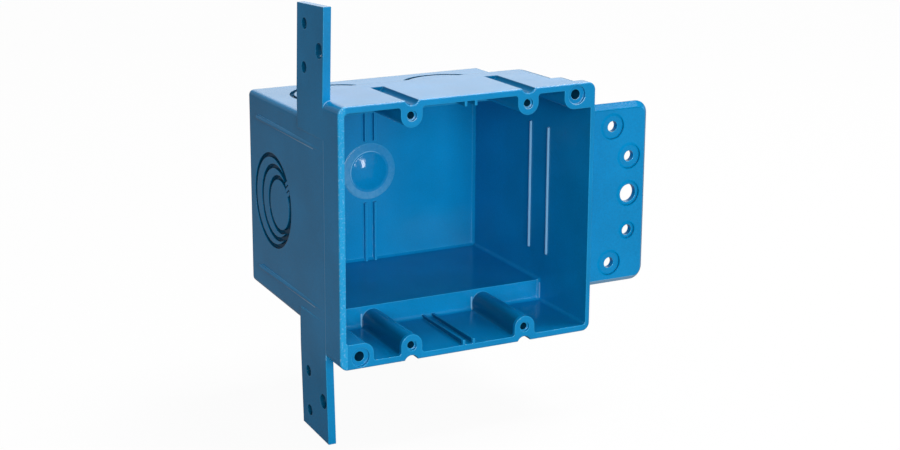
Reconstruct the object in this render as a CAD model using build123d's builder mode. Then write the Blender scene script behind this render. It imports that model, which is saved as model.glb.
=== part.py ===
from build123d import *
from math import radians, tan
import os

os.makedirs("parts", exist_ok=True)

# Two-gang switch box for new work, moulded in one piece of PVC.
# The origin lies midway between the four device screws, in the plane of the front rim.
# X runs across the two gangs, +Y runs back into the wall cavity and Z is up. Sizes are in millimetres.

# Body
box_width = 101.6
box_height = 94.2
box_depth = 85.7
rear_height = 77.0
wall = 2.3
right_rim_wall = 1.8
draft_angle = 1.1

# Depths behind the rim at which the outside changes
rim_depth = 5.0
rim_step = 0.5
shoulder_depth = 13.5
collar_depth = 35.2

# Rounding of the outside, from the rim backwards
rim_corner = 3.0
shoulder_corner = 7.0
collar_corner = 12.0
body_corner = 3.0
rear_corner = 2.0

# Rounding of the inside
inner_corner = 1.5
inner_bevel = 0.9
rim_edge = 0.3

# Device screw bosses and their holes
gang_pitch = 46.04
screw_span = 83.34
boss_radius = 4.1
boss_flare = 1.2
screw_bore = 2.7
screw_bore_depth = 20.0
screw_mouth = 3.8
screw_mouth_depth = 1.0

# Sink groove in the outside behind each boss
groove_radius = 2.8
groove_length = 28.0
groove_lift = 1.1

# Cover screw blocks, upper right and lower left
cover_screw_x = 43.05
cover_screw_z = 42.9
block_margin = 5.1
block_corner = 4.2
block_depth = 25.0
block_fillet = 1.0
cover_bore = 3.7
cover_bore_depth = 12.0
cover_ring = 7.0
cover_ring_depth = 1.2

# Divider slot between the gangs, held by pairs of thin ribs
divider_gap = 3.1
divider_rib = 0.9
divider_rise = 1.8

# Gate mark in the middle of the back wall, and the bare ring that the ribs stop at
dome_radius = 8.0
dome_height = 0.7
dome_rise = 1.5
pad_radius = 11.1
pad_thickness = 0.25
pad_clearance = 1.3

# Thin stop ribs on the inside of the right wall
stop_rib = 0.7
stop_height = 49.5
stop_depths = (27.8, 40.4)

# Nailing strap along the left wall
strap_width = 22.5
strap_thickness = 2.9
strap_height = 158.4
strap_end_drop = 1.4
strap_end_corner = 1.2
strap_lean = 1.3
strap_window = 66.4

# Strap holes: distance in front of the strap's rear edge, height above the centre, diameter
strap_holes = ((6.4, 56.0, 4.0), (19.0, 63.7, 5.4), (6.4, 71.3, 4.0))

# Half-round ribs on the left wall, level with the stud face
stud_rib_radius = 0.8
stud_rib_height = 29.0
stud_rib_front = 14.0
stud_rib_back = 75.0

# Bracket flange on the right wall
flange_reach = 31.6
flange_height = 69.8
flange_thickness = 2.7
flange_depth = 12.2
flange_corner = 5.0
flange_border = 2.2
flange_bevel = 1.9

# Flange holes: distance from the flange's free edge, height above the centre, diameter, spot face diameter
flange_holes = (
    (16.0, 26.4, 4.2, 9.4),
    (8.4, 14.4, 4.2, 9.4),
    (8.4, 0.0, 7.0, 9.4),
    (8.4, -14.4, 4.2, 6.4),
    (16.0, -26.4, 4.2, 9.4),
)
spot_depth = 0.5

# Knockouts, outlined by eccentric round slots that share their front point
side_knockout = (36.0, 29.0, 22.0)
gang_knockout = (36.0, 29.0)
knockout_front = 43.4
slot_width = 1.65
slot_depth = 1.2
slot_stagger = 0.2
web_height = 7.0
web_depth = 0.5
tie_width = 1.4
tie_angle = 35.0

# Two places closer together than this count as the same place
touch = 0.01

# Wall lines that follow from the sizes
half_width = box_width / 2
half_height = box_height / 2
half_rear = rear_height / 2
strap_front = collar_depth - strap_width
riser_depth = collar_depth - wall
back_inside = box_depth - wall
block_x = cover_screw_x - block_margin
block_z = cover_screw_z - block_margin
draft = tan(radians(draft_angle))


def left_outside(depth):
    """X of the left wall's outside: upright to the strap's front edge, then drafted."""
    return -half_width + max(0, depth - strap_front) * draft


def right_outside(depth):
    """X of the right wall's outside behind the rim, drafted all the way back."""
    return half_width - rim_step - max(0, depth - rim_depth) * draft


def left_inside(depth):
    """X of the left wall's inside, one plane from the rim to the back wall."""
    return wall - half_width + (left_outside(box_depth) + half_width) * depth / back_inside


def right_inside(depth):
    """X of the right wall's inside, one plane from the thinner rim to the back wall."""
    rim_x = half_width - right_rim_wall
    return rim_x + (right_outside(box_depth) - wall - rim_x) * depth / back_inside


def collar_outside(depth):
    """Height of the top wall's outside over the collar."""
    return half_height - depth * draft


def rear_outside(depth):
    """Height of the top wall's outside behind the collar."""
    return half_rear - (depth - collar_depth) * draft


back_middle = (left_inside(back_inside) + right_inside(back_inside)) / 2


def face_plane(depth):
    """Plane parallel to the rim at a depth behind it, with X to the right and Z up."""
    return Plane.XZ.offset(-depth)


def along_collar(x, level, height):
    """Plane across the drafted top (level 1) or bottom (-1) of the collar, at a height over the centre at the rim."""
    return Plane((x, 0, level * height), x_dir=(1, 0, 0), z_dir=(0, 1, -level * draft))


def runs_back(edge):
    """True of a straight edge that runs from front to back."""
    return edge.geom_type == GeomType.LINE and abs(edge.tangent_at(0.5).Y) > 0.9


def corner_edges(piece, side, level):
    """Front-to-back edges at one corner, side -1 left or 1 right, level -1 bottom or 1 top."""
    edges = piece.edges().filter_by(runs_back)
    return edges.filter_by(lambda edge: edge.center().X * side > 0 and edge.center().Z * level > 0)


def both_halves(upper):
    """Points of an outline seen from the side, from those of its upper half in order from front to back."""
    return upper + [(depth, -height) for depth, height in reversed(upper)]


# Blank of the outside: its outline from above, cut to its outline from the side
with BuildPart() as blank:
    with BuildSketch(Plane.XY):
        with BuildLine():
            Polyline(
                (-half_width, 0),
                (half_width, 0),
                (half_width, rim_depth),
                (right_outside(rim_depth), rim_depth),
                (right_outside(box_depth), box_depth),
                (left_outside(box_depth), box_depth),
                (left_outside(strap_front), strap_front),
                close=True,
            )
        make_face()
    extrude(amount=half_height, both=True)
    with BuildSketch(Plane.YZ):
        with BuildLine():
            upper_outside = [
                (0, collar_outside(0)),
                (collar_depth, collar_outside(collar_depth)),
                (collar_depth, rear_outside(collar_depth)),
                (box_depth, rear_outside(box_depth)),
            ]
            Polyline(*both_halves(upper_outside), close=True)
        make_face()
    extrude(amount=half_width, both=True, mode=Mode.INTERSECT)


def body_slice(front, back, upper_right, others):
    """Slice of the blank between two depths, with its front-to-back edges rounded."""
    with BuildPart() as piece:
        add(blank.part)
        split(bisect_by=face_plane(front), keep=Keep.BOTTOM)
        split(bisect_by=face_plane(back), keep=Keep.TOP)
        fillet(corner_edges(piece, 1, 1), upper_right)
        for side, level in ((-1, 1), (-1, -1), (1, -1)):
            fillet(corner_edges(piece, side, level), others)
    return piece.part


with BuildPart() as rear:
    add(body_slice(collar_depth, box_depth, rear_corner, rear_corner))
    fillet(rear.faces().sort_by(Axis.Y)[-1].edges(), rear_corner)

# Hollow of the box: what the core of the mould fills, notched where bosses, blocks and ribs stand
with BuildPart() as hollow:
    with BuildSketch(Plane.XY):
        with BuildLine():
            Polyline(
                (left_inside(0), 0),
                (right_inside(0), 0),
                (right_inside(back_inside), back_inside),
                (left_inside(back_inside), back_inside),
                close=True,
            )
        make_face()
    extrude(amount=half_height, both=True)
    with BuildSketch(Plane.YZ):
        with BuildLine():
            upper_inside = [
                (0, collar_outside(0) - wall),
                (riser_depth, collar_outside(riser_depth) - wall),
                (riser_depth, rear_outside(riser_depth) - wall),
                (back_inside, rear_outside(back_inside) - wall),
            ]
            Polyline(*both_halves(upper_inside), close=True)
        make_face()
    extrude(amount=half_width, both=True, mode=Mode.INTERSECT)

    fillet(hollow.edges().filter_by(runs_back), inner_corner)
    chamfer(hollow.faces().sort_by(Axis.Y)[-1].edges(), inner_bevel)
    riser_ends = hollow.edges().filter_by(Axis.Z).filter_by(lambda edge: abs(edge.center().Y - riser_depth) < touch)
    fillet(riser_ends, inner_corner)

    # Device screw bosses, half-round ridges from the rim to the riser, flared where they meet the wall
    for side in (-1, 1):
        for level in (-1, 1):
            with BuildSketch(face_plane(0)):
                with Locations((side * gang_pitch / 2, level * screw_span / 2)):
                    Circle(boss_radius)
                with Locations((side * gang_pitch / 2, level * (screw_span / 2 + half_height) / 2)):
                    Rectangle(2 * boss_radius, half_height - screw_span / 2)
            extrude(amount=-riser_depth, mode=Mode.SUBTRACT)
            flare_edge = boss_radius + boss_flare
            with BuildSketch(along_collar(side * gang_pitch / 2, level, half_height - wall)):
                Rectangle(2 * flare_edge, 2 * boss_flare)
                with Locations((-flare_edge, level * boss_flare), (flare_edge, level * boss_flare)):
                    Circle(boss_flare, mode=Mode.SUBTRACT)
            extrude(amount=collar_depth, both=True, mode=Mode.SUBTRACT)

    # Cover screw blocks in two opposite corners: the lower left one stops short of the riser
    for side, depth in ((-1, block_depth), (1, riser_depth)):
        with BuildSketch(face_plane(0)) as block:
            with Locations((side * (block_x + half_width) / 2, side * (block_z + half_height) / 2)):
                Rectangle(half_width - block_x, half_height - block_z)
            free_corner = block.vertices().sort_by_distance((0, 0))[0]
            fillet(free_corner, block_corner)
        extrude(amount=-depth, mode=Mode.SUBTRACT)
    block_sides = corner_edges(hollow, -1, -1)
    upright_foot = block_sides.filter_by(lambda edge: abs(edge.center().X + block_x) < touch).sort_by(Axis.Z)[0]
    level_foot = block_sides.filter_by(lambda edge: abs(edge.center().Z + block_z) < touch).sort_by(Axis.X)[0]
    fillet([upright_foot, level_foot], block_fillet)

    # Divider ribs on the floor and ceiling of the collar, and on the back wall above and below the pad
    for side in (-1, 1):
        for level in (-1, 1):
            with BuildSketch(Plane.XY.offset(level * (collar_outside(0) - wall - divider_rise))):
                with Locations((side * (divider_gap + divider_rib) / 2, riser_depth / 2)):
                    Rectangle(divider_rib, riser_depth)
            extrude(amount=level * (wall + divider_rise), mode=Mode.SUBTRACT)
            rib_start = dome_height + level * (pad_radius + pad_clearance)
            rib_end = level * half_rear
            with BuildSketch(face_plane(back_inside - divider_rise)):
                with Locations((back_middle + side * (divider_gap + divider_rib) / 2, (rib_start + rib_end) / 2)):
                    Rectangle(divider_rib, abs(rib_end - rib_start))
            extrude(amount=-divider_rise, mode=Mode.SUBTRACT)

    # Gate mark: a low dome on a thin round pad
    with BuildSketch(face_plane(back_inside - pad_thickness)):
        with Locations((back_middle, dome_height)):
            Circle(pad_radius)
    extrude(amount=-pad_thickness, mode=Mode.SUBTRACT)
    dome_sphere = (dome_radius**2 + dome_rise**2) / (2 * dome_rise)
    with Locations((back_middle, back_inside + dome_sphere - dome_rise, dome_height)):
        Sphere(dome_sphere, mode=Mode.SUBTRACT)

    # Stop ribs on the right wall
    for depth in stop_depths:
        with BuildSketch(Plane.YZ.offset(right_inside(depth) - stop_rib)):
            with Locations((depth, 0)):
                Rectangle(stop_rib, stop_height)
        extrude(amount=stop_rib + wall, mode=Mode.SUBTRACT)

# Upper half of the nailing strap, which leans in where it stands clear of the box
with BuildPart() as strap:
    tip_lean = (strap_height / 2 - half_height) * tan(radians(strap_lean))
    with BuildSketch(face_plane(strap_front)):
        with BuildLine():
            Polyline(
                (-half_width, strap_window / 2),
                (-half_width, half_height),
                (tip_lean - half_width, strap_height / 2),
                (tip_lean - half_width + strap_thickness, strap_height / 2),
                (strap_thickness - half_width, half_height),
                (strap_thickness - half_width, strap_window / 2),
                close=True,
            )
        make_face()
    extrude(amount=-strap_width)
    with BuildSketch(Plane.YZ) as strap_outline:
        with BuildLine():
            Polyline(
                (strap_front, 0),
                (strap_front, strap_height / 2),
                (collar_depth, strap_height / 2 - strap_end_drop),
                (collar_depth, 0),
                close=True,
            )
        make_face()
        fillet(strap_outline.vertices().group_by(Axis.Y)[0], strap_end_corner)
        for behind, height, diameter in strap_holes:
            with Locations((collar_depth - behind, height)):
                Circle(diameter / 2, mode=Mode.SUBTRACT)
    extrude(amount=-half_width, mode=Mode.INTERSECT)

# Bracket flange, with a rounded border round its free edges
with BuildPart() as flange:
    flange_root = half_width - 2 * wall
    flange_edge = half_width + flange_reach
    with BuildSketch(face_plane(flange_depth)) as flange_outline:
        with Locations(((flange_root + flange_edge) / 2, 0)):
            Rectangle(flange_edge - flange_root, flange_height)
        fillet(flange_outline.vertices().group_by(Axis.X)[-1], flange_corner)
    extrude(amount=-flange_thickness)
    front_face = flange.faces().sort_by(Axis.Y)[0]
    chamfer(front_face.edges().sort_by(Axis.X)[1:], flange_bevel, flange_border, reference=front_face)
    # Each spot face is sunk on its lower right side only and runs out on the upper left
    for from_edge, height, diameter, spot in flange_holes:
        center = (flange_edge - from_edge, flange_depth, height)
        slope = spot_depth / spot
        spot_plane = Plane(center, x_dir=(1, slope, 0), z_dir=(slope, -1, -slope))
        with BuildSketch(spot_plane.offset(-spot_depth / 2)):
            Circle(spot / 2)
        extrude(amount=flange_thickness, mode=Mode.SUBTRACT)
        with Locations(Plane(center, z_dir=(0, -1, 0))):
            Hole(diameter / 2)

# Knockout planes, with X running back along the wall from the slots' front point, and the turn of each one's tie
left_plane = Plane((left_outside(knockout_front), knockout_front, 0), x_dir=(draft, 1, 0), z_dir=(-1, draft, 0))
right_plane = Plane((right_outside(knockout_front), knockout_front, 0), x_dir=(-draft, 1, 0), z_dir=(1, draft, 0))
knockouts = [(left_plane, side_knockout, web_height, tie_angle), (right_plane, side_knockout, web_height, -tie_angle)]
for side in (-1, 1):
    for level in (-1, 1):
        front_point = (side * gang_pitch / 2, knockout_front, level * rear_outside(knockout_front))
        gang_plane = Plane(front_point, x_dir=(0, 1, -level * draft), z_dir=(0, draft, level))
        knockouts.append((gang_plane, gang_knockout, 0, tie_angle))

with BuildPart() as switch_box:
    add(body_slice(0, rim_depth, rim_corner, rim_corner))
    add(body_slice(rim_depth, shoulder_depth, shoulder_corner, body_corner))
    add(body_slice(shoulder_depth, collar_depth, collar_corner, body_corner))
    add(rear.part)
    add(strap.part)
    mirror(strap.part, about=Plane.XY)
    add(flange.part)

    # Half-round ribs that carry the stud face back along the drafted left wall
    for level in (-1, 1):
        with BuildSketch(face_plane(stud_rib_front)):
            with Locations((stud_rib_radius - half_width, level * stud_rib_height)):
                Circle(stud_rib_radius)
        extrude(amount=stud_rib_front - stud_rib_back)

    add(hollow.part, mode=Mode.SUBTRACT)

    # Sink grooves in the top and bottom, which follow the draft of the collar
    for side in (-1, 1):
        for level in (-1, 1):
            with BuildSketch(along_collar(side * gang_pitch / 2, level, half_height + groove_lift)):
                Circle(groove_radius)
            extrude(amount=groove_length, both=True, mode=Mode.SUBTRACT)

    # Screw holes in the rim
    with Locations(face_plane(0)):
        with GridLocations(gang_pitch, screw_span, 2, 2):
            CounterBoreHole(screw_bore / 2, screw_mouth / 2, screw_mouth_depth, screw_bore_depth)
        with Locations((cover_screw_x, cover_screw_z), (-cover_screw_x, -cover_screw_z)):
            CounterBoreHole(cover_bore / 2, cover_ring / 2, cover_ring_depth, cover_bore_depth)

    # Knockout slots, with a tie left across each near the front and a sunk web in the rear of those in the sides
    for wall_plane, diameters, web, tie_turn in knockouts:
        for depth in (slot_depth, web_depth) if web else (slot_depth,):
            with BuildSketch(wall_plane):
                for place, diameter in enumerate(diameters):
                    with Locations((place * slot_stagger + diameter / 2, 0)):
                        Circle(diameter / 2)
                        Circle(diameter / 2 - slot_width, mode=Mode.SUBTRACT)
                for place, diameter in enumerate(diameters):
                    middle = place * slot_stagger + diameter / 2
                    slot_radius = (diameter - slot_width) / 2
                    with Locations((middle, 0)):
                        with PolarLocations(slot_radius, 1, start_angle=180 + tie_turn):
                            Rectangle(2 * slot_width, tie_width, mode=Mode.SUBTRACT)
                    if web and depth == slot_depth:
                        with Locations((middle + slot_radius, 0)):
                            Rectangle(2 * slot_width, web, mode=Mode.SUBTRACT)
            extrude(amount=-depth, mode=Mode.SUBTRACT)

    # Softened edge round the outside of the rim
    chamfer(switch_box.faces().sort_by(Axis.Y)[0].outer_wire().edges(), rim_edge)

switch_box.part.label = "switch_box"
export_step(switch_box.part, "parts/switch_box.step")
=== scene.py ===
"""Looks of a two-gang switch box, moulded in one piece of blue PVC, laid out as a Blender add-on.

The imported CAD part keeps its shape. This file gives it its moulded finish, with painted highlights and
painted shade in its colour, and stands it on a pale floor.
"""

import math

import bpy
from bpy.props import FloatProperty, FloatVectorProperty, PointerProperty
from mathutils import Matrix, Vector


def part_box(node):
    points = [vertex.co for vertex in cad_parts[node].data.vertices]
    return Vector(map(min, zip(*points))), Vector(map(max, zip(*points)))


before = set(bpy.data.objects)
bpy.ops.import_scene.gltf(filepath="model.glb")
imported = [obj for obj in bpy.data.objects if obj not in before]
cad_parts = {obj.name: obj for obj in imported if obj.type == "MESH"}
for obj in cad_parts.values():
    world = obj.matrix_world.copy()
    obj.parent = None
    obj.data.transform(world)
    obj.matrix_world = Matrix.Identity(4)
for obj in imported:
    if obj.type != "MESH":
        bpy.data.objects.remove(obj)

bl_info = {
    "name": "Two-gang switch box",
    "version": (1, 0, 0),
    "blender": (4, 5, 0),
    "location": "View3D > Sidebar > Switch box",
    "description": "Moulded PVC finish and studio stage for a two-gang switch box",
    "category": "Object",
}

BOX = "switch_box"
BOX_LOW, BOX_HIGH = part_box(BOX)

# Places are in metres, as (across, depth behind the rim, up). A mask is 1 on the places that it picks out and
# 0 elsewhere. A share says how much of a colour is laid on, and a shade how much of the shaded colour.

# Sizes of the spots in the plastic's patterns, and how much mottle and grain tint it
MOTTLE_SIZE = 0.022
CLOUD_SIZE = 0.006
FROST_SIZE = 0.0011
SPECK_SIZE = 0.0008
MOTTLE_SHARE = 0.55
GRAIN_SHARE = 0.45
TINT_RANGE = (0.35, 0.65)
CLOUD_RANGE = (0.3, 0.7)

# The plastic's colour is multiplied by these in its patterns, for painted shade in the sink grooves and for
# deep painted shade
DARKER = 0.88
LIGHTER = 1.12
GROOVE_SHADE_FACTOR = 0.55
SHADED = 0.2

# Surface: samples of the soft edges, strength of the grain, swing of the roughness, how much smoother the
# dome is, and how much shine is left in shade
EDGE_SAMPLES = 8
GRAIN_STRENGTH = 0.6
ROUGHNESS_SWING = 0.02
DOME_POLISH = 0.08
DULL_SHINE = 0.1

# Soft edges get a painted highlight from the first to the second cosine of the surface's turn. The other two
# ranges are parts of its direction: upwards, for an edge that faces the light overhead, and to the right, for
# a flank that faces left
EDGE_TURN = (0.995, 0.80)
EDGE_SHARE = 0.75
FACING_UP = (0.2, 0.55)
FACING_LEFT = (-0.15, -0.75)

# Gate mark on the back wall: its middle, how far from the wall it reaches, and the radii of the edge of its
# dome, of the dome's outline, and of both edges of the frosted ring
GATE_PLACE = (-0.00032, 0.0826, 0.0007)
GATE_REACH = 0.0012
DOME_EDGE = (0.0083, 0.0080)
OUTLINE_RADII = (0.0078, 0.0082)
RING_START = (0.0082, 0.0085)
RING_END = (0.0114, 0.0111)

# The ring's frost is strongest on its lower left, and the dome's outline gets a painted highlight on its
# upper left
FROST_FADE = (0.012, -0.012)
FROST_STRENGTH = (0.35, 1.0)
FROST_RANGE = (0.3, 0.7)
FROST_SPOTS = (0.5, 1.0)
OUTLINE_FADE = (0.0, 0.009)
DOME_HIGHLIGHT_SHARE = 0.6

# Knockout slots: how deep in the box they lie, how far under the outside their faces and their edges are, and
# the outside of the drafted walls half way along them
SLOT_DEPTHS = (0.0430, 0.0800)
SLOT_LEVELS = (0.00002, 0.0014)
SLOT_EDGE_LEVELS = (-0.0003, 0.0016)
SLOT_SHADE = 0.85
SLOT_MIDDLE = 0.0600
WALL_SLOPE = 0.0192
SIDE_SHIFT = -0.00032
SIDE_HALF = 0.04957
TOP_HALF = 0.03802
SIDE_REACH = 0.0185
TOP_REACH = 0.0425

# Screw bores in the rim: middle across and up, radius, and depths at which the narrow bore starts and ends.
# The device screws are at all four corners, the cover screws at the upper right and the lower left
DEVICE_BORE = ((0.02302, 0.04167), 0.0015, (0.0010, 0.0210))
COVER_BORE = ((0.04305, 0.04290), 0.0020, (0.0013, 0.0140))
HOLE_SHADE = 0.85

# Nail holes in the strap: depth and height of the middle, and radius
STRAP_HOLES = (
    ((0.0288, 0.0560), 0.00205),
    ((0.0162, 0.0637), 0.00275),
    ((0.0288, 0.0713), 0.00205),
)

# Sink grooves in the top and bottom: place of the axis at the rim across and up, radius and length
GROOVE_AXIS = (0.02302, 0.0482)
GROOVE_RADIUS = 0.00288
GROOVE_LENGTH = 0.0282
# Share of painted shade laid in the grooves
GROOVE_SHADE = 0.8

# Painted highlights, as boxes from a low to a high corner, and their shares: on the two stop ribs, on the
# lower edges of the two stud ribs, as a pale line down the left wall, on the flange's lower bevel, and as
# glints in the corners of the riser with the two bosses and with the right wall
HIGHLIGHT_BOXES = (
    ((0.0440, 0.02735, -0.0250), (0.0483, 0.02825, 0.0250), 0.5),
    ((0.0440, 0.03995, -0.0250), (0.0483, 0.04085, 0.0250), 0.5),
    ((-0.0512, 0.02200, 0.0280), (-0.0490, 0.07520, 0.0284), 0.4),
    ((-0.0512, 0.02200, -0.0300), (-0.0490, 0.07520, -0.0296), 0.4),
    ((-0.0512, 0.01255, -0.0470), (-0.0505, 0.01285, 0.0332), 0.22),
    ((0.0512, 0.0120, -0.0352), (0.0830, 0.0150, -0.0329), 0.4),
    ((-0.0277, 0.0318, -0.0440), (-0.0271, 0.0342, -0.0390), 0.45),
    ((0.0183, 0.0318, -0.0440), (0.0189, 0.0342, -0.0390), 0.45),
    ((0.0477, 0.0318, -0.0440), (0.0481, 0.0336, -0.0372), 0.3),
)

# The rim's left part, which gets a painted highlight and painted glint specks, and the part of the top whose
# edges get painted highlights
RIM_BOX = ((-0.0512, -0.0001, -0.0475), (-0.0480, 0.0006, 0.0475))
RIM_HIGHLIGHT_SHARE = 0.4
GLINT_SPECK_SHARE = 0.25
SPECK_RANGE = (0.54, 0.7)
TOP_BOX = ((-0.0520, -0.0001, 0.0360), (0.0520, 0.0400, 0.0480))

# Low part of the hollow, where the left flanks of the bosses and ribs lie in shade
FLANK_BOX = ((-0.0300, 0.0015, -0.0480), (0.0300, 0.0362, -0.0300))
FLANK_SHADE = 0.65

# The flange's upper bevel, which gets painted shade and doesn't shine, and the spot faces round its holes:
# middle across and up, and radius. The step and the line of painted shade are measured outwards from that
# radius
UPPER_BEVEL = ((0.0512, 0.0120, 0.0326), (0.0830, 0.0150, 0.0352))
BEVEL_SHADE = 0.2
FLANGE_FRONT = (0.0115, 0.0129)
SPOT_FACES = (
    ((0.0664, 0.0264), 0.0047),
    ((0.0740, 0.0144), 0.0047),
    ((0.0740, 0.0), 0.0047),
    ((0.0740, -0.0144), 0.0032),
    ((0.0664, -0.0264), 0.0047),
)
SPOT_STEP = (-0.0006, 0.0005)
SPOT_LINE = (-0.0002, 0.0002)
SPOT_FADE = (-0.001, 0.004)
SPOT_SHADE = 0.5

# Stage: size of the floor, its grey as light and to the camera, how much of it is plain white, and how much
# of the white background shows in reflections
FLOOR_SIZE = 12
FLOOR_LIT = 0.16
FLOOR_SEEN = 0.8
FLOOR_WHITE = 0.95
GLOSSY_SHARE = 0.1
WHITE = (1.0, 1.0, 1.0, 1.0)
SENSOR_WIDTH = 36

# Soft lights: name, place, width, height, and which setting holds the power
LIGHTS = (
    ("front_light", (-0.38, -1.15, 0.26), 0.5, 0.5, "front_power"),
    ("glint_light", (0.19, -1.10, 0.08), 0.15, 0.3, "glint_power"),
    ("top_light", (0.45, 0.03, 0.95), 0.5, 0.5, "top_power"),
    ("back_light", (0.6, 1.15, 0.38), 1.2, 0.6, "back_power"),
)


class MouldedFinish(bpy.types.PropertyGroup):
    """Colours and surface of the blue PVC."""

    colour: FloatVectorProperty(
        name="Colour",
        description="Colour of the plastic",
        subtype="COLOR",
        default=(0.001, 0.224, 0.505),
        min=0,
        max=1,
    )
    # Colour of the painted highlight on rounded edges and on the rim's left part
    edge_highlight_colour: FloatVectorProperty(
        name="Edge highlight colour",
        description="Painted highlight on rounded edges and on the rim's left part",
        subtype="COLOR",
        default=(0.03, 0.46, 0.85),
        min=0,
        max=1,
    )
    gate_colour: FloatVectorProperty(
        name="Gate ring colour",
        description="Frosted ring round the gate mark on the back wall",
        subtype="COLOR",
        default=(0.09, 0.34, 0.60),
        min=0,
        max=1,
    )
    # Colour of the painted highlight on the dome's outline
    dome_highlight_colour: FloatVectorProperty(
        name="Dome highlight colour",
        description="Painted highlight on the dome's outline, on its upper left",
        subtype="COLOR",
        default=(0.25, 0.6, 0.85),
        min=0,
        max=1,
    )
    # Colour of the brightest painted highlights: on ribs, in corners, a line on the left wall and edges
    # facing up
    bright_highlight_colour: FloatVectorProperty(
        name="Bright highlight colour",
        description="Palest painted highlight, on ribs, corners and edges that face up",
        subtype="COLOR",
        default=(0.45, 0.74, 0.95),
        min=0,
        max=1,
    )
    roughness: FloatProperty(
        name="Roughness",
        description="Roughness of the plain moulded faces",
        default=0.19,
        min=0,
        max=1,
    )
    shine: FloatProperty(
        name="Shine",
        description="Strength of the plastic's reflections, where 0.5 is common plastic",
        default=0.36,
        min=0,
        max=1,
    )
    edge_radius: FloatProperty(
        name="Edge radius",
        description="Radius that the moulded edges and inside corners are softened by",
        unit="LENGTH",
        default=0.0005,
        min=0,
    )
    grain_size: FloatProperty(
        name="Grain size",
        description="Size of the fine grain of the mould",
        unit="LENGTH",
        default=0.0006,
        min=0.0001,
    )
    grain_depth: FloatProperty(
        name="Grain depth",
        description="Depth of the fine grain of the mould",
        unit="LENGTH",
        default=0.000025,
        min=0,
    )


class StudioStage(bpy.types.PropertyGroup):
    """Camera, lamps and background."""

    camera_place: FloatVectorProperty(
        name="Camera",
        description="Where the camera stands",
        subtype="TRANSLATION",
        unit="LENGTH",
        default=(-0.30617, -0.56929, 0.18276),
    )
    camera_yaw: FloatProperty(
        name="Yaw",
        description="How far the camera looks to the right of straight back",
        unit="ROTATION",
        default=math.radians(27.64),
    )
    camera_pitch: FloatProperty(
        name="Pitch",
        description="How far the camera looks down",
        unit="ROTATION",
        default=math.radians(15.80),
    )
    camera_roll: FloatProperty(
        name="Roll",
        description="How far the camera is turned anticlockwise about its own line of sight",
        unit="ROTATION",
        default=math.radians(0.34),
    )
    lens: FloatProperty(
        name="Lens",
        description="Focal length in millimetres, on a sensor 36 mm wide",
        default=75.84,
        min=1,
    )
    front_power: FloatProperty(
        name="Front light",
        description="Power of the soft light in front",
        unit="POWER",
        default=9.8,
        min=0,
    )
    glint_power: FloatProperty(
        name="Glint light",
        description="Power of the small light on the right of the front, which glints in the rounded corners",
        unit="POWER",
        default=2.8,
        min=0,
    )
    top_power: FloatProperty(
        name="Top light",
        description="Power of the soft light overhead",
        unit="POWER",
        default=9.5,
        min=0,
    )
    back_power: FloatProperty(
        name="Back light",
        description="Power of the low soft light behind, which glances off the top",
        unit="POWER",
        default=2.1,
        min=0,
    )
    ambient: FloatProperty(
        name="Ambient",
        description="Even light from all round",
        default=0.32,
        min=0,
    )


def add_node(tree, kind, inputs=(), **settings):
    """Adds a shader node, sets its options and fills its inputs, given as (name or number, value)."""
    node = tree.nodes.new("ShaderNode" + kind)
    for name, value in settings.items():
        setattr(node, name, value)
    for key, value in inputs:
        fill_socket(tree, node.inputs[key], value)
    return node


def fill_socket(tree, socket, value):
    """Links a socket to an input, or sets a plain value on it."""
    if isinstance(value, bpy.types.NodeSocket):
        tree.links.new(value, socket)
    else:
        socket.default_value = value


def clear_nodes(owner):
    """Empty node tree of a material or a world."""
    owner.use_nodes = True
    owner.node_tree.nodes.clear()
    return owner.node_tree


def calculate(tree, operation, *values):
    """Result of a Math node."""
    return add_node(tree, "Math", enumerate(values), operation=operation).outputs[0]


def product(tree, first, *others):
    """All the values multiplied together."""
    for value in others:
        first = calculate(tree, "MULTIPLY", first, value)
    return first


def largest(tree, first, *others):
    """The largest of the values."""
    for value in others:
        first = calculate(tree, "MAXIMUM", first, value)
    return first


def separate(tree, vector):
    """The three parts of a place or a direction."""
    return add_node(tree, "SeparateXYZ", [(0, vector)]).outputs


def length(tree, first, second):
    """Length of the diagonal of two values."""
    squares = [calculate(tree, "MULTIPLY", value, value) for value in (first, second)]
    return calculate(tree, "SQRT", calculate(tree, "ADD", *squares))


def ramp(tree, value, low, high, start=0.0, end=1.0):
    """Value brought from the range low to high to the range start to end, and held there beyond it."""
    inputs = [("Value", value), ("From Min", low), ("From Max", high), ("To Min", start), ("To Max", end)]
    return add_node(tree, "MapRange", inputs).outputs[0]


def noise(tree, place, size, detail=2.0):
    """Noise between 0 and 1, with spots of about the given size."""
    inputs = [("Vector", place), ("Scale", 1 / size), ("Detail", detail)]
    return add_node(tree, "TexNoise", inputs).outputs["Fac"]


def mix_colour(tree, share, first, second):
    """Colour between two colours."""
    node = add_node(tree, "Mix", data_type="RGBA")
    for key, value in (("Factor_Float", share), ("A_Color", first), ("B_Color", second)):
        fill_socket(tree, next(place for place in node.inputs if place.identifier == key), value)
    return next(place for place in node.outputs if place.identifier == "Result_Color")


def opaque(colour, factor=1.0):
    """Colour times a factor, with full alpha."""
    return (*(min(1.0, factor * part) for part in colour), 1.0)


def between(tree, value, low, high):
    """Mask of the places where a value lies between two numbers."""
    above = calculate(tree, "GREATER_THAN", value, low)
    return product(tree, above, calculate(tree, "LESS_THAN", value, high))


def near_axis(tree, first, second, middle, radius):
    """Mask of the places within a radius of an axis, from the two coordinates across it."""
    offsets = [calculate(tree, "SUBTRACT", value, centre) for value, centre in zip((first, second), middle)]
    return calculate(tree, "LESS_THAN", length(tree, *offsets), radius)


def box_mask(tree, place, low, high):
    """Mask of an upright box from its low corner to its high corner."""
    return product(tree, *(between(tree, *limits) for limits in zip(separate(tree, place), low, high)))


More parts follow.
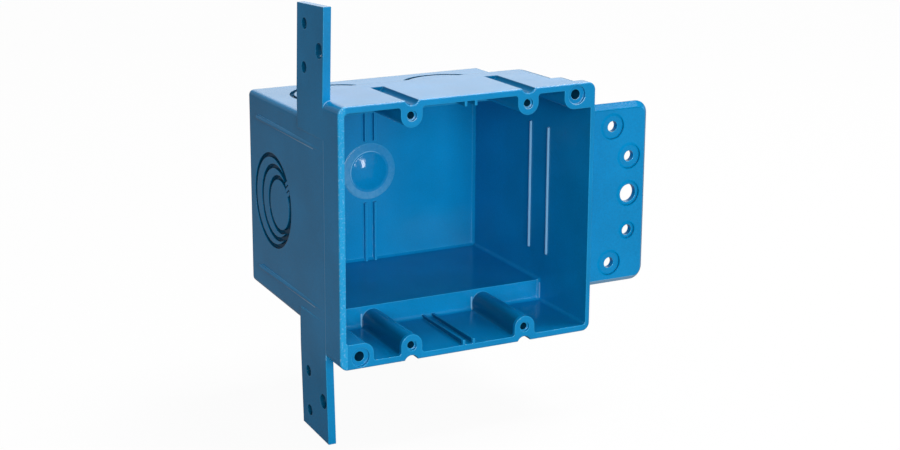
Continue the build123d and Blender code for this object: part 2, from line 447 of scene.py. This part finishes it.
def make_slot_mask(tree, place, levels):
    """Mask of the knockouts' areas between two levels under the outside of the walls."""
    x, depth, z = separate(tree, place)
    lean = product(tree, calculate(tree, "SUBTRACT", depth, SLOT_MIDDLE), WALL_SLOPE)
    masks = []
    for across, shift, half_size, other, reach in (
        (x, SIDE_SHIFT, SIDE_HALF, z, SIDE_REACH),
        (z, 0.0, TOP_HALF, x, TOP_REACH),
    ):
        out = calculate(tree, "ABSOLUTE", calculate(tree, "SUBTRACT", across, shift))
        under = calculate(tree, "SUBTRACT", calculate(tree, "SUBTRACT", half_size, lean), out)
        near = calculate(tree, "LESS_THAN", calculate(tree, "ABSOLUTE", other), reach)
        masks.append(product(tree, between(tree, under, *levels), near))
    return product(tree, largest(tree, *masks), between(tree, depth, *SLOT_DEPTHS))


def make_groove_mask(tree, place):
    """Mask of the sink grooves in the top and bottom."""
    x, depth, z = separate(tree, place)
    level = calculate(tree, "ADD", calculate(tree, "ABSOLUTE", z), product(tree, depth, WALL_SLOPE))
    near = near_axis(tree, calculate(tree, "ABSOLUTE", x), level, GROOVE_AXIS, GROOVE_RADIUS)
    return product(tree, near, calculate(tree, "LESS_THAN", depth, GROOVE_LENGTH))


def make_hole_mask(tree, place):
    """Mask of the screw bores and of the nail holes in the strap, which lie in their own shade."""
    x, depth, z = separate(tree, place)
    across = calculate(tree, "ABSOLUTE", x)
    height = calculate(tree, "ABSOLUTE", z)
    opposite = calculate(tree, "GREATER_THAN", product(tree, x, z), 0.0)
    left = calculate(tree, "LESS_THAN", x, 0.0)
    holes = []
    for (middle, radius, ends), corners in ((DEVICE_BORE, 1.0), (COVER_BORE, opposite)):
        bore = near_axis(tree, across, height, middle, radius)
        holes.append(product(tree, bore, between(tree, depth, *ends), corners))
    for middle, radius in STRAP_HOLES:
        holes.append(product(tree, near_axis(tree, depth, height, middle, radius), left))
    return largest(tree, *holes)


def make_spot_masks(tree, place):
    """Masks round the flange's holes: steps of the spot faces, and their shade on the lower right."""
    x, depth, z = separate(tree, place)
    steps, lines = [], []
    for (middle_x, middle_z), radius in SPOT_FACES:
        right = calculate(tree, "SUBTRACT", x, middle_x)
        above = calculate(tree, "SUBTRACT", z, middle_z)
        outwards = calculate(tree, "SUBTRACT", length(tree, right, above), radius)
        lower_right = ramp(tree, calculate(tree, "SUBTRACT", right, above), *SPOT_FADE)
        steps.append(between(tree, outwards, *SPOT_STEP))
        lines.append(product(tree, between(tree, outwards, *SPOT_LINE), lower_right))
    front = between(tree, depth, *FLANGE_FRONT)
    return product(tree, largest(tree, *steps), front), product(tree, largest(tree, *lines), front)


def make_gate_masks(tree, place):
    """Masks of the gate mark on the back wall: its frosted ring, its smooth dome and the painted highlight on
    the dome's outline.
    """
    from_gate = add_node(tree, "VectorMath", [(0, place), (1, GATE_PLACE)], operation="SUBTRACT").outputs[0]
    across, depth, height = separate(tree, from_gate)
    radius = length(tree, across, height)
    wall = calculate(tree, "LESS_THAN", calculate(tree, "ABSOLUTE", depth), GATE_REACH)

    frost = ramp(tree, noise(tree, place, FROST_SIZE, 3.0), *FROST_RANGE, *FROST_SPOTS)
    lower_left = ramp(tree, calculate(tree, "ADD", across, height), *FROST_FADE, *FROST_STRENGTH)
    band = product(tree, ramp(tree, radius, *RING_START), ramp(tree, radius, *RING_END))
    ring = product(tree, band, wall, frost, lower_left)

    dome = product(tree, ramp(tree, radius, *DOME_EDGE), wall)
    upper_left = ramp(tree, calculate(tree, "SUBTRACT", height, across), *OUTLINE_FADE)
    outline = product(tree, between(tree, radius, *OUTLINE_RADII), upper_left, wall)
    return ring, dome, outline


def make_pvc(finish):
    """Blue moulded PVC: fine grain, faint mottling, frosted gate mark, painted highlights on edges and ribs,
    painted shade in recesses.
    """
    material = bpy.data.materials.new("blue_pvc")
    tree = clear_nodes(material)
    place = add_node(tree, "TexCoord").outputs["Object"]
    grain = noise(tree, place, finish.grain_size)

    # Soft edges: the surface turns gradually there, and a painted highlight makes them paler. The steps round
    # the flange's holes and the edges of the knockout slots stay plain
    soft = add_node(tree, "Bevel", [("Radius", finish.edge_radius)], samples=EDGE_SAMPLES).outputs[0]
    flat = add_node(tree, "NewGeometry").outputs["Normal"]
    turn = add_node(tree, "VectorMath", [(0, soft), (1, flat)], operation="DOT_PRODUCT").outputs["Value"]
    rightward, _, upward = separate(tree, soft)
    steps, step_lines = make_spot_masks(tree, place)
    plain = largest(tree, steps, make_slot_mask(tree, place, SLOT_EDGE_LEVELS))
    edge = product(tree, ramp(tree, turn, *EDGE_TURN), calculate(tree, "SUBTRACT", 1.0, plain))

    # Painted highlights, the palest colour: the boxes, glint specks on the rim, and edges that face the light
    # overhead
    left_rim = box_mask(tree, place, *RIM_BOX)
    glint_specks = product(tree, left_rim, ramp(tree, noise(tree, place, SPECK_SIZE), *SPECK_RANGE), GLINT_SPECK_SHARE)
    top_edge = product(tree, edge, ramp(tree, upward, *FACING_UP), box_mask(tree, place, *TOP_BOX))
    boxes = [product(tree, box_mask(tree, place, low, high), share) for low, high, share in HIGHLIGHT_BOXES]
    bright_highlights = largest(tree, glint_specks, top_edge, *boxes)

    # Recesses, narrow enough to lie in their own shade, and faces turned from the light
    grooves = make_groove_mask(tree, place)
    bevel = box_mask(tree, place, *UPPER_BEVEL)
    flanks = product(tree, ramp(tree, rightward, *FACING_LEFT), box_mask(tree, place, *FLANK_BOX))
    shades = (
        (make_slot_mask(tree, place, SLOT_LEVELS), SLOT_SHADE),
        (make_hole_mask(tree, place), HOLE_SHADE),
        (step_lines, SPOT_SHADE),
        (flanks, FLANK_SHADE),
        (bevel, BEVEL_SHADE),
    )
    recess = largest(tree, *(product(tree, mask, shade) for mask, shade in shades))

    # Colour: the tinted plastic, with painted highlights, the frosted ring and painted shade laid on it in
    # turn
    mottle = product(tree, noise(tree, place, MOTTLE_SIZE, 3.0), MOTTLE_SHARE)
    tint = ramp(tree, calculate(tree, "ADD", mottle, product(tree, grain, GRAIN_SHARE)), *TINT_RANGE)
    ring, dome, outline = make_gate_masks(tree, place)
    edge_highlights = largest(tree, product(tree, edge, EDGE_SHARE), product(tree, left_rim, RIM_HIGHLIGHT_SHARE))
    colour = mix_colour(tree, tint, opaque(finish.colour, DARKER), opaque(finish.colour, LIGHTER))
    for share, layer in (
        (edge_highlights, opaque(finish.edge_highlight_colour)),
        (ring, opaque(finish.gate_colour)),
        (product(tree, outline, DOME_HIGHLIGHT_SHARE), opaque(finish.dome_highlight_colour)),
        (bright_highlights, opaque(finish.bright_highlight_colour)),
        (product(tree, grooves, GROOVE_SHADE), opaque(finish.colour, GROOVE_SHADE_FACTOR)),
        (recess, opaque(finish.colour, SHADED)),
    ):
        colour = mix_colour(tree, share, colour, layer)

    # Surface: a little cloudy, smoother on the dome and duller in shade
    rough_range = (finish.roughness - ROUGHNESS_SWING, finish.roughness + ROUGHNESS_SWING)
    cloud = ramp(tree, noise(tree, place, CLOUD_SIZE, 3.0), *CLOUD_RANGE, *rough_range)
    roughness = calculate(tree, "SUBTRACT", cloud, product(tree, dome, DOME_POLISH))
    dull = largest(tree, grooves, recess, steps, bevel)
    shine = ramp(tree, dull, 0.0, 1.0, finish.shine, DULL_SHINE * finish.shine)
    relief = (
        ("Strength", GRAIN_STRENGTH),
        ("Distance", finish.grain_depth),
        ("Height", grain),
        ("Normal", soft),
    )
    surface = (
        ("Base Color", colour),
        ("Roughness", roughness),
        ("Specular IOR Level", shine),
        ("Normal", add_node(tree, "Bump", relief).outputs[0]),
    )
    shader = add_node(tree, "BsdfPrincipled", surface).outputs[0]
    add_node(tree, "OutputMaterial", [("Surface", shader)])
    return material


class SWITCHBOX_OT_finish(bpy.types.Operator):
    """Give the moulded box its PVC finish, with painted highlights and painted shade"""

    bl_idname = "switchbox.finish"
    bl_label = "Moulded finish"

    def execute(self, context):
        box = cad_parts[BOX]
        box.material_slots[0].material = make_pvc(context.scene.switch_box_finish)
        return {"FINISHED"}


def background_share(tree):
    """1 for a ray that meets a plain white background, and less for one that was reflected."""
    path = add_node(tree, "LightPath").outputs
    seen = calculate(tree, "ADD", path["Is Camera Ray"], path["Is Transmission Ray"])
    shiny = product(tree, path["Is Glossy Ray"], GLOSSY_SHARE)
    return calculate(tree, "MINIMUM", calculate(tree, "ADD", seen, shiny), 1.0)


def make_floor_material():
    """Pale floor, white to the camera but for a soft shadow."""
    material = bpy.data.materials.new("pale_floor")
    tree = clear_nodes(material)
    seen = add_node(tree, "LightPath").outputs["Is Camera Ray"]
    grey = mix_colour(tree, seen, opaque([FLOOR_LIT] * 3), opaque([FLOOR_SEEN] * 3))
    lit = add_node(tree, "BsdfDiffuse", [("Color", grey)]).outputs[0]
    white = add_node(tree, "Emission", [("Color", WHITE), ("Strength", 1.0)]).outputs[0]
    share = product(tree, background_share(tree), FLOOR_WHITE)
    floor = add_node(tree, "MixShader", [(0, share), (1, lit), (2, white)]).outputs[0]
    add_node(tree, "OutputMaterial", [("Surface", floor)])
    return material


def make_world(ambient):
    """Even studio surroundings: white to the camera, dimmer as light."""
    world = bpy.data.worlds.new("studio")
    tree = clear_nodes(world)
    light = add_node(tree, "Background", [("Color", WHITE), ("Strength", ambient)]).outputs[0]
    white = add_node(tree, "Background", [("Color", WHITE), ("Strength", 1.0)]).outputs[0]
    seen = add_node(tree, "MixShader", [(0, background_share(tree)), (1, light), (2, white)]).outputs[0]
    add_node(tree, "OutputWorld", [("Surface", seen)])
    return world


def add_soft_light(name, place, target, width, height, power):
    """Rectangular soft light that faces a point and isn't seen by the camera."""
    data = bpy.data.lights.new(name, "AREA")
    data.shape = "RECTANGLE"
    data.size = width
    data.size_y = height
    data.energy = power
    light = bpy.data.objects.new(name, data)
    light.location = place
    light.rotation_euler = (target - Vector(place)).to_track_quat("-Z", "Y").to_euler()
    light.visible_camera = False
    bpy.context.scene.collection.objects.link(light)


def aim_camera(stage):
    """Camera at the photograph's viewing angle."""
    data = bpy.data.cameras.new("camera")
    data.lens = stage.lens
    data.sensor_width = SENSOR_WIDTH
    camera = bpy.data.objects.new("camera", data)
    yaw, pitch, roll = stage.camera_yaw, stage.camera_pitch, stage.camera_roll
    ahead = Vector((math.sin(yaw) * math.cos(pitch), math.cos(yaw) * math.cos(pitch), -math.sin(pitch)))
    level = ahead.cross(Vector((0, 0, 1))).normalized()
    upright = level.cross(ahead)
    right = math.cos(roll) * level + math.sin(roll) * upright
    up = math.cos(roll) * upright - math.sin(roll) * level
    turn = Matrix((right, up, -ahead)).transposed().to_4x4()
    camera.matrix_world = Matrix.Translation(stage.camera_place) @ turn
    bpy.context.scene.collection.objects.link(camera)
    bpy.context.scene.camera = camera


class SWITCHBOX_OT_stage(bpy.types.Operator):
    """Set up the floor, the soft lights, the surroundings and the camera"""

    bl_idname = "switchbox.stage"
    bl_label = "Studio stage"

    def execute(self, context):
        stage = context.scene.switch_box_stage
        bpy.ops.object.select_all(action="DESELECT")
        bpy.ops.mesh.primitive_plane_add(size=FLOOR_SIZE, location=(0, 0, BOX_LOW.z))
        floor = context.object
        floor.name = "floor"
        bpy.ops.object.transform_apply(location=True, rotation=True, scale=True)
        floor.data.materials.append(make_floor_material())

        context.scene.world = make_world(stage.ambient)
        middle = (BOX_LOW + BOX_HIGH) / 2
        for name, place, width, height, setting in LIGHTS:
            add_soft_light(name, place, middle, width, height, getattr(stage, setting))
        aim_camera(stage)
        context.scene.view_settings.view_transform = "Standard"
        return {"FINISHED"}


class SWITCHBOX_PT_panel(bpy.types.Panel):
    """Sizes, colours and steps of the switch box"""

    bl_label = "Switch box"
    bl_idname = "SWITCHBOX_PT_panel"
    bl_space_type = "VIEW_3D"
    bl_region_type = "UI"
    bl_category = "Switch box"

    def draw(self, context):
        for settings, operator in (
            (context.scene.switch_box_finish, "switchbox.finish"),
            (context.scene.switch_box_stage, "switchbox.stage"),
        ):
            column = self.layout.column()
            for name in settings.__annotations__:
                column.prop(settings, name)
            column.operator(operator)


CLASSES = (
    MouldedFinish,
    StudioStage,
    SWITCHBOX_OT_finish,
    SWITCHBOX_OT_stage,
    SWITCHBOX_PT_panel,
)


def register():
    for kind in CLASSES:
        bpy.utils.register_class(kind)
    bpy.types.Scene.switch_box_finish = PointerProperty(type=MouldedFinish)
    bpy.types.Scene.switch_box_stage = PointerProperty(type=StudioStage)


def unregister():
    del bpy.types.Scene.switch_box_stage
    del bpy.types.Scene.switch_box_finish
    for kind in reversed(CLASSES):
        bpy.utils.unregister_class(kind)


def main():
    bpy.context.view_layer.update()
    register()
    bpy.ops.switchbox.finish()
    bpy.ops.switchbox.stage()


if __name__ == "__main__":
    main()
